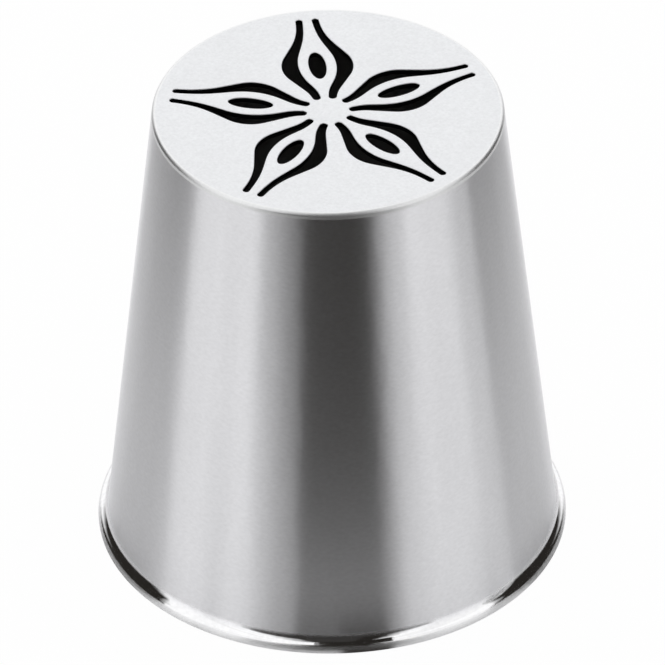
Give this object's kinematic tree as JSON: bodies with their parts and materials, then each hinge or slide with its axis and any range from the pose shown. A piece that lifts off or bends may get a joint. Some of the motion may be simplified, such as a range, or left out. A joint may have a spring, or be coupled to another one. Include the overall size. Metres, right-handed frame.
{
  "type": "piping nozzle",
  "caption": "Tapered stainless piping nozzle with a rolled rim and a flat face cut with curved slots, which shape icing pressed through it into a petalled flower.",
  "frame": {"origin": "on the nozzle's axis, in the plane that the rolled rim rests on", "axes": "+Z along the axis from the open mouth to the slotted face, +Y along the middle of one petal"},
  "size_m": [0.0334, 0.0334, 0.0355],
  "materials": {
    "wall_steel": "satin, lathe-brushed round the wall, with a mirror-polished rim",
    "plate_steel": "fine matt grain",
    "weld_steel": "ground and buffed"
  },
  "bodies": {
    "root": {"cone_wall": "wall_steel", "face_plate": "plate_steel", "corner_weld": "weld_steel"}
  },
  "joints": []
}
